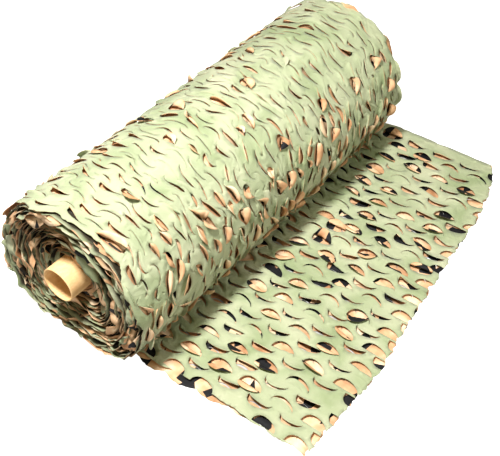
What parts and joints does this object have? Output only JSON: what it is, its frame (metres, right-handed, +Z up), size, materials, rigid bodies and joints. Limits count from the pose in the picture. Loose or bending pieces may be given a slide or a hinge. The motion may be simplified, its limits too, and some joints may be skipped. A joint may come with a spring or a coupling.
{
  "type": "camouflage net roll",
  "caption": "Leaf-cut camouflage net, folded double and wound on a cardboard core tube, lying on the floor with its loose end laid out flat.",
  "frame": {"origin": "on the floor under the roll's axis, at the middle of the roll's length", "axes": "+X the way the loose end is laid out, +Y along the roll's axis, +Z up"},
  "size_m": [0.7909, 1.0987, 0.3632],
  "materials": {
    "kraft_board": "unbleached kraft cardboard, matt",
    "net_cloth": "matt leaf-cut polyester, sage green face and tan back"
  },
  "bodies": {
    "root": {"core_tube": "kraft_board", "net_roll": "net_cloth", "net_loose_end": "net_cloth"}
  },
  "joints": []
}
